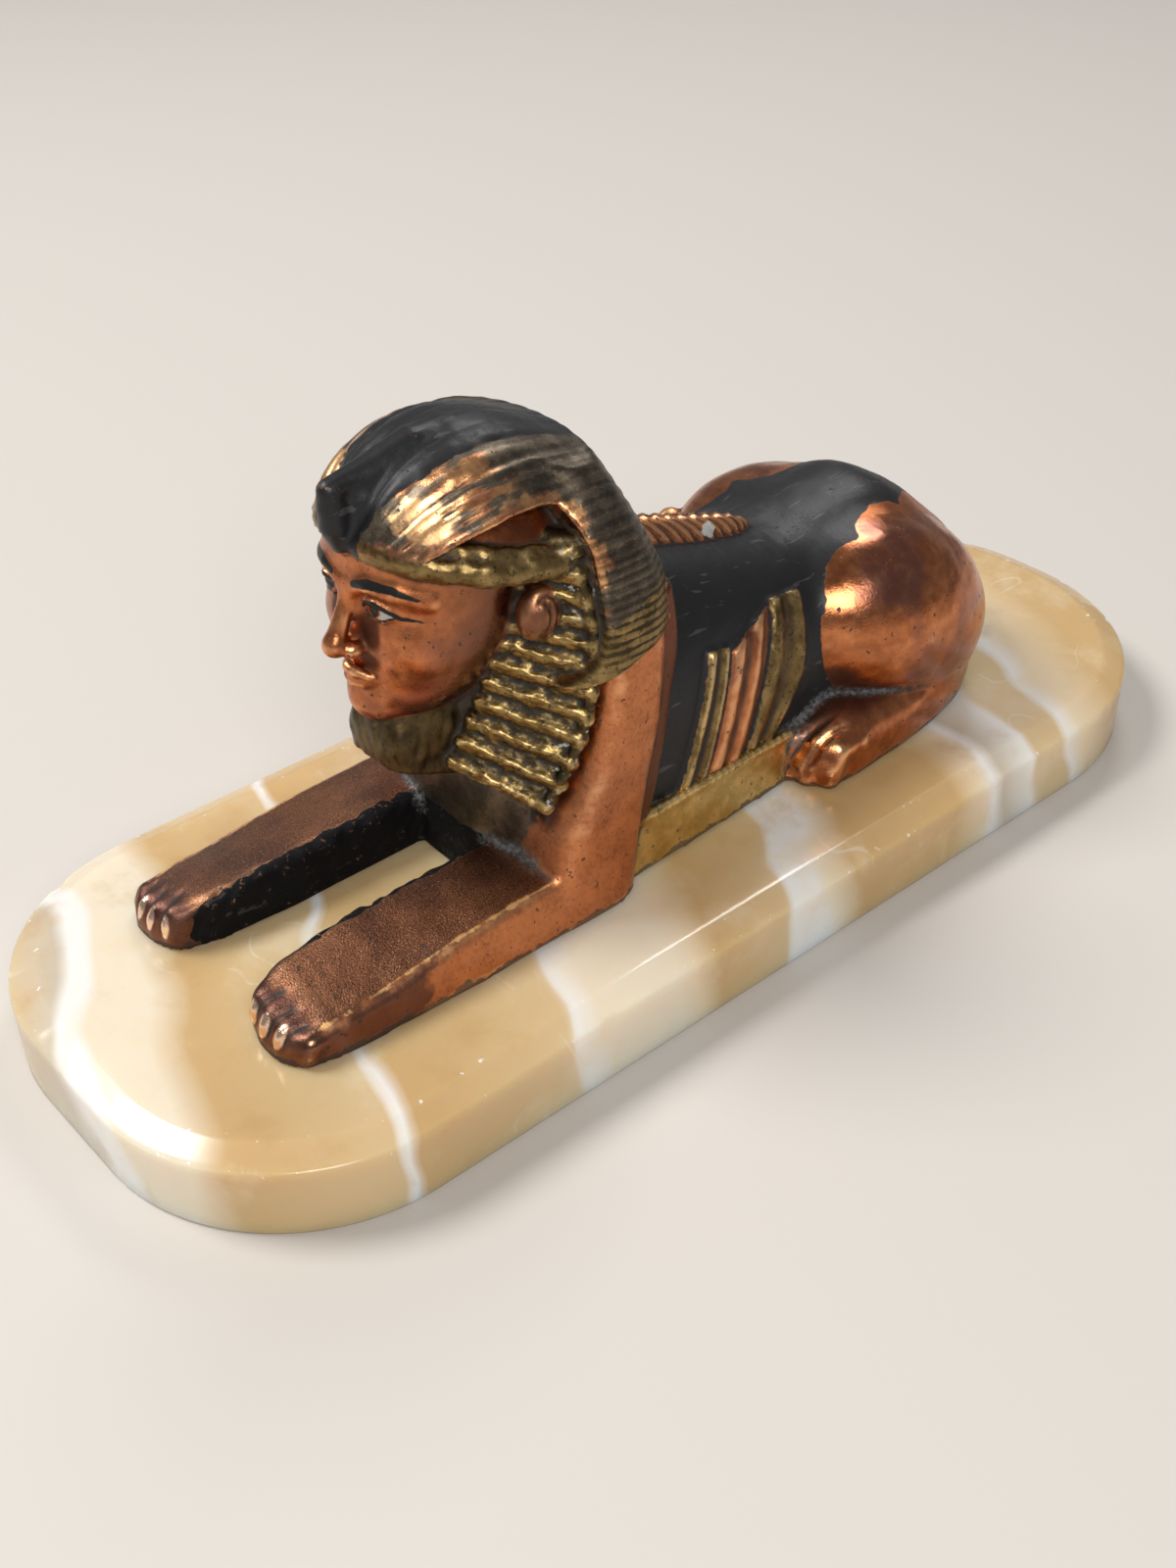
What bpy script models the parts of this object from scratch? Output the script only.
"""Couchant sphinx, cast in one piece, seated on a polished onyx slab.

Metres, +Z up. The sphinx faces -Y. The origin is under the middle of the slab.
"""

import math

import bmesh
import bpy
import numpy as np
from mathutils import Matrix, Vector

# Onyx slab
SLAB_LENGTH = 0.150
SLAB_WIDTH = 0.059
SLAB_THICKNESS = 0.0095
FRONT_CORNER_RADIUS = 0.023
BACK_CORNER_RADIUS = 0.028
CHAMFER_WIDTH = 0.003
CHAMFER_DROP = 0.0012
FOOT_EASE = 0.0005

# Cast figure
FIGURE_LENGTH = 0.113
SET_FORWARD = 0.002
SEAT_GAP = 0.0003

# The figure's proportions are stated in shares of its length, about a millimetre each.
# Along is measured back from its middle, across from its centre plane, height from its underside.
SHARE = FIGURE_LENGTH / 113

# Fineness of the fused skin
SKIN_CELL = 0.6 * SHARE
SKIN_SMOOTHING = 3
SKIN_KEPT = 0.085
RING_POINTS = 40
STEPS_PER_STATION = 6

# Colours, as linear red, green and blue
BRONZED_COPPER = (0.42, 0.16, 0.08, 1)
HONEY_ONYX = (0.80, 0.68, 0.47, 1)

# Torso stations: along, half width, crown height, squareness of the section
TORSO = (
    (-20, 12.6, 31.0, 2.4),
    (-10, 13.8, 32.0, 2.6),
    (0, 14.0, 31.0, 2.7),
    (10, 13.2, 28.0, 2.7),
    (20, 12.8, 25.6, 2.6),
    (30, 13.0, 26.6, 2.4),
    (38, 12.8, 26.6, 2.3),
    (45, 11.8, 22.6, 2.3),
    (51, 9.4, 16.8, 2.3),
    (55, 6.2, 10.8, 2.3),
    (56.5, 2.6, 6.5, 2.0),
)
TORSO_WIDEST = 12.0
BELOW_UNDERSIDE = -3.0

# Foreleg stations: along, centre across, half width, crown height, squareness, flare of the outer foot
FORELEG = (
    (-56.6, 11.3, 2.6, 3.4, 2.2, 0.0),
    (-55.6, 11.2, 4.4, 4.8, 2.6, 0.2),
    (-52.5, 11.2, 5.5, 6.0, 3.2, 0.6),
    (-46, 11.0, 5.4, 6.6, 3.8, 1.2),
    (-36, 10.7, 5.1, 6.8, 4.2, 1.7),
    (-26, 10.7, 5.1, 7.0, 4.2, 1.8),
    (-18, 10.7, 5.1, 7.0, 4.0, 1.8),
)
FORELEG_WIDEST = 2.6

# Hind foot stations, as for the foreleg
HIND_FOOT = (
    (12.4, 13.8, 2.0, 3.2, 2.2, 0.0),
    (13.8, 13.7, 3.7, 6.2, 2.4, 0.0),
    (17, 13.6, 4.4, 8.2, 2.4, 0.0),
    (23, 13.6, 4.4, 7.6, 2.4, 0.0),
    (30, 13.2, 4.8, 7.2, 2.4, 0.0),
    (38, 12.2, 5.1, 8.0, 2.4, 0.0),
    (46, 10.8, 5.0, 8.2, 2.3, 0.0),
    (51, 9.4, 3.8, 6.0, 2.0, 0.0),
)
HIND_FOOT_WIDEST = 2.8

# Belly band stations: along, half width at the foot, height, squareness
BELLY_BAND = (
    (-16, 15.6, 6.6, 5.0),
    (-4, 15.1, 6.4, 5.0),
    (8, 14.4, 6.1, 5.0),
    (18, 13.8, 5.6, 5.0),
)

# Shoulder stations: height, centre across, half width, front, back, squareness
SHOULDER = (
    (-1, 11.0, 6.7, -26.5, -12.0, 3.0),
    (6, 10.8, 6.0, -24.0, -10.6, 3.0),
    (14, 10.6, 6.6, -22.2, -9.6, 3.0),
    (22, 10.4, 7.4, -21.0, -9.2, 3.0),
    (27, 10.0, 7.6, -20.5, -9.6, 3.0),
    (31, 9.0, 6.0, -19.5, -10.6, 2.6),
)

# Chest stations: height, half width, front, back, squareness
CHEST = (
    (-1, 12.0, -25.4, -8.0, 3.4),
    (7, 12.4, -25.4, -8.0, 3.2),
    (14, 12.8, -26.4, -8.0, 2.8),
    (20, 12.0, -25.8, -8.0, 2.6),
    (28, 9.0, -22.0, -8.0, 2.4),
)

# Hood stations: height, half width, front, back, squareness
HOOD = (
    (22.0, 15.6, -19.0, -11.0, 2.6),
    (25.0, 17.4, -20.2, -8.4, 2.6),
    (30.0, 17.8, -21.0, -5.2, 2.4),
    (35.0, 17.0, -21.0, -5.4, 2.3),
    (40.0, 15.6, -20.6, -7.0, 2.3),
    (44.0, 14.2, -20.0, -8.6, 2.2),
    (48.0, 11.0, -19.0, -10.0, 2.0),
)

# Rounded masses: centre across, along, height; half sizes; lean of the front, upwards, in degrees
CROWN = ((0, -21.8, 39.2), (14.4, 14.4, 12.8), 7)
HEAD = ((0, -22.6, 33.6), (9.6, 13.4, 12.6), 0)
JAW = ((0, -27.2, 27.4), (7.2, 8.6, 5.6), 0)
NECK = ((0, -20.0, 20.0), (9.2, 8.6, 14.0), 0)
HAUNCH = ((9.6, 33.5, 13.6), (9.4, 16.0, 11.2), 18)
EAR = ((10.4, -19.8, 34.0), (1.6, 2.3, 3.0), 0)
NOSE = ((0, -35.6, 32.6), (1.5, 1.9, 3.0), -14)
LIPS = ((0, -34.6, 28.6), (3.0, 1.6, 1.5), 0)
CHIN = ((0, -33.2, 24.8), (3.2, 2.8, 2.4), 0)
COBRA_HOOD = ((0, -33.8, 45.6), (2.4, 2.0, 4.0), -8)
COBRA_HEAD = ((0, -35.6, 47.4), (1.7, 1.6, 1.6), 0)

# Beard stations: height, half width, front, back, squareness
BEARD = (
    (16.8, 4.4, -34.0, -26.0, 3.4),
    (18.0, 4.8, -34.6, -25.0, 3.4),
    (22.0, 5.0, -34.8, -24.0, 3.0),
    (25.0, 4.6, -34.0, -24.0, 2.6),
)

# Rolled brow band: points across, along, height on one side of the face, and its radius
BROW_BAND = (
    (0, -34.2, 43.4),
    (4.6, -33.6, 43.1),
    (8.6, -30.9, 42.2),
    (11.2, -26.4, 41.1),
    (12.4, -20.6, 40.2),
)
BROW_BAND_RADIUS = 2.0

# Lappet: inner and outer ends of its first and last rib, each across, along, height
RIB_COUNT = 12
FIRST_RIB = ((11.0, -21.6, 43.2), (14.0, -20.8, 42.0))
MIDDLE_RIB = ((10.2, -23.6, 29.0), (15.6, -21.6, 27.4))
LAST_RIB = ((5.8, -26.2, 16.4), (14.2, -23.2, 13.6))
RIB_RADIUS = 1.0

# Toes: count, spread across one paw, radius
TOES = 4
FORE_TOE_SPREAD = 8.0
FORE_TOE_RADIUS = 1.5
HIND_TOE_SPREAD = 5.4
HIND_TOE_RADIUS = 1.2

# Wing: three feathers on each flank, each from its root to its tip, along and height
FEATHERS = (
    ((-1.8, 6.6), (3.2, 20.6)),
    ((2.8, 6.4), (9.2, 21.2)),
    ((7.6, 6.2), (15.0, 20.6)),
)
FEATHER_HALF_WIDTH = 2.5
FEATHER_RELIEF = 0.8

# Queue of the headcloth, down the spine: along, half width, height above the torso's crown
QUEUE = ((-4, 3.4, 1.6), (4, 3.4, 1.7), (12, 3.1, 1.6), (18, 2.2, 0.8))

# Tail, laid over the right haunch: points across, along, height
TAIL = (
    (-2.0, 55.8, 9.0),
    (-8.0, 53.6, 5.4),
    (-14.6, 47.4, 5.8),
    (-18.2, 38.0, 9.6),
    (-18.6, 29.0, 14.6),
    (-16.0, 22.4, 18.6),
)
TAIL_RADIUS = 1.3


def clear_scene():
    """Removes every object of the starting scene."""
    for obj in list(bpy.data.objects):
        bpy.data.objects.remove(obj)


def make_material(name, colour, roughness, metallic):
    """One Principled material."""
    material = bpy.data.materials.new(name)
    material.use_nodes = True
    shader = material.node_tree.nodes["Principled BSDF"]
    shader.inputs["Base Color"].default_value = colour
    shader.inputs["Roughness"].default_value = roughness
    shader.inputs["Metallic"].default_value = metallic
    return material


def add_object(name, mesh_source, material):
    """Puts a bmesh into the scene as a named, smooth-shaded object."""
    mesh = bpy.data.meshes.new(name)
    mesh_source.to_mesh(mesh)
    mesh_source.free()
    mesh.materials.append(material)
    obj = bpy.data.objects.new(name, mesh)
    bpy.context.scene.collection.objects.link(obj)
    return obj


def between_stations(stations, places):
    """Cubic Hermite curve through a table whose first column is the place."""
    table = np.array(stations, float)
    at, values = table[:, 0], table[:, 1:]
    slopes = np.gradient(values, at, axis=0)
    i = np.clip(np.searchsorted(at, places) - 1, 0, len(at) - 2)
    gap = (at[i + 1] - at[i])[:, None]
    t = np.clip((places[:, None] - at[i][:, None]) / gap, 0, 1)
    start, end = values[i], values[i + 1]
    rise, fall = slopes[i] * gap, slopes[i + 1] * gap
    return (
        start * (1 + 2 * t) * (1 - t) ** 2
        + rise * t * (1 - t) ** 2
        + end * t * t * (3 - 2 * t)
        + fall * t * t * (t - 1)
    )


def places_along(stations):
    """Even places from the first station to the last."""
    count = (len(stations) - 1) * STEPS_PER_STATION + 1
    return np.linspace(stations[0][0], stations[-1][0], count)


def superellipse(squareness):
    """Unit ring whose squareness is 2 for a circle and more for a rounded square."""
    angles = np.linspace(0, 2 * math.pi, RING_POINTS, endpoint=False)
    cosine, sine = np.cos(angles), np.sin(angles)
    power = 2 / squareness
    return np.sign(cosine) * np.abs(cosine) ** power, np.sign(sine) * np.abs(sine) ** power


def bridged(rings):
    """Closed shell bridged from closed rings of points."""
    shell = bmesh.new()
    loops = []
    for ring in rings:
        verts = [shell.verts.new(point) for point in ring]
        loops.append([shell.edges.new((a, b)) for a, b in zip(verts, verts[1:] + verts[:1])])
    for near, far in zip(loops, loops[1:]):
        bmesh.ops.bridge_loops(shell, edges=near + far)
    for end in (loops[0], loops[-1]):
        bmesh.ops.contextual_create(shell, geom=end)
    bmesh.ops.recalc_face_normals(shell, faces=shell.faces)
    return shell


def add_shell(skin, shell):
    """Puts a closed shell, in shares, beside the others in the figure's skin."""
    bmesh.ops.scale(shell, vec=(SHARE, SHARE, SHARE), verts=shell.verts)
    mesh = bpy.data.meshes.new("shell")
    shell.to_mesh(mesh)
    shell.free()
    skin.from_mesh(mesh)
    bpy.data.meshes.remove(mesh)


def loft_back(skin, stations, widest, side=1):
    """Limb or torso: upright sections carried along the figure.

    Columns after along: centre across, half width, crown height, squareness, flare of the outer foot.
    """
    places = places_along(stations)
    rings = []
    for place, row in zip(places, between_stations(stations, places)):
        centre, half, crown, squareness, flare = row
        x, h = superellipse(squareness)
        height = np.where(h > 0, widest + (crown - widest) * h, widest + (widest - BELOW_UNDERSIDE) * h)
        spread = flare * np.clip(1 - height / crown, 0, 1) * (x > 0)
        across = side * (centre + half * x + spread)
        rings.append(np.column_stack([across, np.full(RING_POINTS, place), height]))
    add_shell(skin, bridged(rings))


def loft_up(skin, stations, side=1):
    """Upright mass: level sections stacked by height.

    Columns after height: centre across, half width, front, back, squareness.
    """
    places = places_along(stations)
    rings = []
    for place, row in zip(places, between_stations(stations, places)):
        centre, half, front, back, squareness = row
        x, y = superellipse(squareness)
        across = side * (centre + half * x)
        along = (front + back) / 2 + (back - front) / 2 * y
        rings.append(np.column_stack([across, along, np.full(RING_POINTS, place)]))
    add_shell(skin, bridged(rings))


def centred(stations):
    """Adds the centre plane as the first column of a table that has none."""
    return tuple((row[0], 0.0, *row[1:]) for row in stations)


def rounded_mass(skin, mass, side=1):
    """Ellipsoid with its front leaned up or down."""
    (across, along, height), half_sizes, lean = mass
    matrix = (
        Matrix.Translation((side * across, along, height))
        @ Matrix.Rotation(math.radians(-lean), 4, "X")
        @ Matrix.Diagonal((*half_sizes, 1))
    )
    shell = bmesh.new()
    bmesh.ops.create_uvsphere(shell, u_segments=48, v_segments=32, radius=1, matrix=matrix)
    add_shell(skin, shell)


def bar(skin, start, end, radius):
    """Round-ended rod between two points: a sphere whose halves are drawn apart."""
    start, end = Vector(start), Vector(end)
    half = (end - start) / 2
    turn = Vector((0, 0, 1)).rotation_difference(half).to_matrix()
    shell = bmesh.new()
    bmesh.ops.create_uvsphere(shell, u_segments=12, v_segments=9, radius=radius)
    for vert in shell.verts:
        shift = half if vert.co.z > 0 else -half
        vert.co = (start + end) / 2 + turn @ vert.co + shift
    add_shell(skin, shell)


def rod(skin, points, radius):
    """Bars end to end."""
    for start, end in zip(points, points[1:]):
        bar(skin, start, end, radius)


def mirrored(point, side):
    """The same point on the left (+1) or the right (-1) of the figure."""
    return (side * point[0], point[1], point[2])


def mix(a, b, t):
    """Point a share t of the way from a to b."""
    return tuple(p + (q - p) * t for p, q in zip(a, b))


def torso_row(along):
    """Half width, crown and squareness of the torso at one place."""
    return between_stations(TORSO, np.array([float(along)]))[0]


def torso_side(along, height):
    """How far across the torso's flank lies at one height."""
    half, crown, squareness = torso_row(along)
    reach = crown - TORSO_WIDEST if height > TORSO_WIDEST else TORSO_WIDEST - BELOW_UNDERSIDE
    rise = abs(height - TORSO_WIDEST) / reach
    return half * max(0.0, 1 - rise**squareness) ** (1 / squareness)


def add_torso(skin):
    """Body of the lion, its haunches, the band under its belly and its spine queue."""
    loft_back(skin, tuple((y, 0, half, crown, square, 0) for y, half, crown, square in TORSO), TORSO_WIDEST)
    loft_back(skin, tuple((y, 0, half, top, square, 0) for y, half, top, square in BELLY_BAND), 1.0)
    queue = tuple((y, 0, half, torso_row(y)[1] + rise, 2.2, 0) for y, half, rise in QUEUE)
    loft_back(skin, queue, TORSO_WIDEST)
    for side in (1, -1):
        rounded_mass(skin, HAUNCH, side)


def add_wing(skin, side):
    """Three low feathers on the flank, each a flat rod half sunk in it."""
    for root, tip in FEATHERS:
        ends = []
        for along, height in (root, tip):
            across = torso_side(along, height) + FEATHER_RELIEF - FEATHER_HALF_WIDTH
            ends.append((side * across, along, height))
        bar(skin, ends[0], ends[1], FEATHER_HALF_WIDTH)


def add_leg_pair(skin, side):
    """Foreleg and hind foot of one side, with their toes."""
    loft_back(skin, FORELEG, FORELEG_WIDEST, side)
    loft_back(skin, HIND_FOOT, HIND_FOOT_WIDEST, side)
    for number in range(TOES):
        share = number / (TOES - 1) - 0.5
        bowed = 1 - abs(share)
        fore = FORELEG[1][1] + FORE_TOE_SPREAD * share
        start = (fore, -56.6 + 1.9 * (1 - bowed) + FORE_TOE_RADIUS, 2.3)
        end = (fore * 0.98 + 0.2, -51.5, 4.9)
        bar(skin, mirrored(start, side), mirrored(end, side), FORE_TOE_RADIUS)
        hind = HIND_FOOT[1][1] + HIND_TOE_SPREAD * share
        start = (hind, 13.2 + 1.4 * (1 - bowed) + HIND_TOE_RADIUS, 1.9)
        end = (hind, 18.0, 5.0)
        bar(skin, mirrored(start, side), mirrored(end, side), HIND_TOE_RADIUS)


def add_lappet(skin, side):
    """Ribbed strip of the headcloth from behind the ear to the chest."""
    for number in range(RIB_COUNT):
        t = number / (RIB_COUNT - 1)
        if t < 0.5:
            ends = [mix(FIRST_RIB[i], MIDDLE_RIB[i], 2 * t) for i in (0, 1)]
        else:
            ends = [mix(MIDDLE_RIB[i], LAST_RIB[i], 2 * t - 1) for i in (0, 1)]
        bar(skin, mirrored(ends[0], side), mirrored(ends[1], side), RIB_RADIUS)
    for i in (0, 1):
        edge = [mirrored(rib[i], side) for rib in (FIRST_RIB, MIDDLE_RIB, LAST_RIB)]
        backed = [(x, y + 1.6, z) for x, y, z in edge]
        rod(skin, backed, 1.6)


def add_head(skin):
    """Face, beard, headcloth, brow band and cobra."""
    loft_up(skin, centred(HOOD))
    loft_up(skin, centred(BEARD))
    for mass in (CROWN, HEAD, JAW, NECK, NOSE, LIPS, CHIN, COBRA_HOOD, COBRA_HEAD):
        rounded_mass(skin, mass)
    for side in (1, -1):
        rounded_mass(skin, EAR, side)
        rod(skin, [mirrored(point, side) for point in BROW_BAND], BROW_BAND_RADIUS)
        add_lappet(skin, side)


def add_modifier(obj, name, kind, **values):
    """One modifier with its settings."""
    modifier = obj.modifiers.new(name, kind)
    for key, value in values.items():
        setattr(modifier, key, value)
    return modifier


def make_floor_cutter(name):
    """Block whose top is the figure's underside."""
    deep = 12 * SHARE
    cutter = bmesh.new()
    size = Matrix.Diagonal((FIGURE_LENGTH, 1.4 * FIGURE_LENGTH, deep, 1))
    bmesh.ops.create_cube(cutter, size=1, matrix=Matrix.Translation((0, 0, -deep / 2)) @ size)
    mesh = bpy.data.meshes.new(name)
    cutter.to_mesh(mesh)
    cutter.free()
    obj = bpy.data.objects.new(name, mesh)
    obj.hide_render = True
    obj.display_type = "WIRE"
    bpy.context.scene.collection.objects.link(obj)
    return obj


def make_figure(material):
    """The casting: overlapping shells fused to one skin, then cut flat below."""
    skin = bmesh.new()
    add_torso(skin)
    loft_up(skin, centred(CHEST))
    for side in (1, -1):
        loft_up(skin, SHOULDER, side)
        add_leg_pair(skin, side)
        add_wing(skin, side)
    add_head(skin)
    rod(skin, TAIL, TAIL_RADIUS)
    figure = add_object("sphinx_figure", skin, material)
    figure.location = (0, -SET_FORWARD, SLAB_THICKNESS + SEAT_GAP)
    floor = make_floor_cutter("figure_underside")
    floor.location = figure.location
    add_modifier(figure, "fuse", "REMESH", mode="VOXEL", voxel_size=SKIN_CELL, use_smooth_shade=True)
    add_modifier(figure, "relax", "SMOOTH", factor=0.5, iterations=SKIN_SMOOTHING)
    add_modifier(figure, "lighten", "DECIMATE", ratio=SKIN_KEPT)
    add_modifier(figure, "flat_underside", "BOOLEAN", operation="DIFFERENCE", object=floor)
    return figure


def slab_ring(inset, height):
    """Outline of the slab, drawn in by an inset: four arcs of two radii."""
    points = []
    corners = (
        (1, 1, 0, BACK_CORNER_RADIUS),
        (-1, 1, 90, BACK_CORNER_RADIUS),
        (-1, -1, 180, FRONT_CORNER_RADIUS),
        (1, -1, 270, FRONT_CORNER_RADIUS),
    )
    for across, along, first, radius in corners:
        centre = (across * (SLAB_WIDTH / 2 - radius), along * (SLAB_LENGTH / 2 - radius))
        for angle in np.radians(np.linspace(first, first + 90, 16)):
            reach = radius - inset
            points.append((centre[0] + reach * math.cos(angle), centre[1] + reach * math.sin(angle), height))
    return points


def make_slab(material):
    """Polished slab with an eased foot and a chamfered upper edge."""
    rings = (
        slab_ring(FOOT_EASE, 0),
        slab_ring(0, FOOT_EASE),
        slab_ring(0, SLAB_THICKNESS - CHAMFER_DROP),
        slab_ring(CHAMFER_WIDTH, SLAB_THICKNESS),
    )
    return add_object("onyx_base", bridged(rings), material)


def main():
    clear_scene()
    make_slab(make_material("honey_onyx", HONEY_ONYX, 0.25, 0.0))
    make_figure(make_material("bronzed_copper", BRONZED_COPPER, 0.35, 1.0))


main()
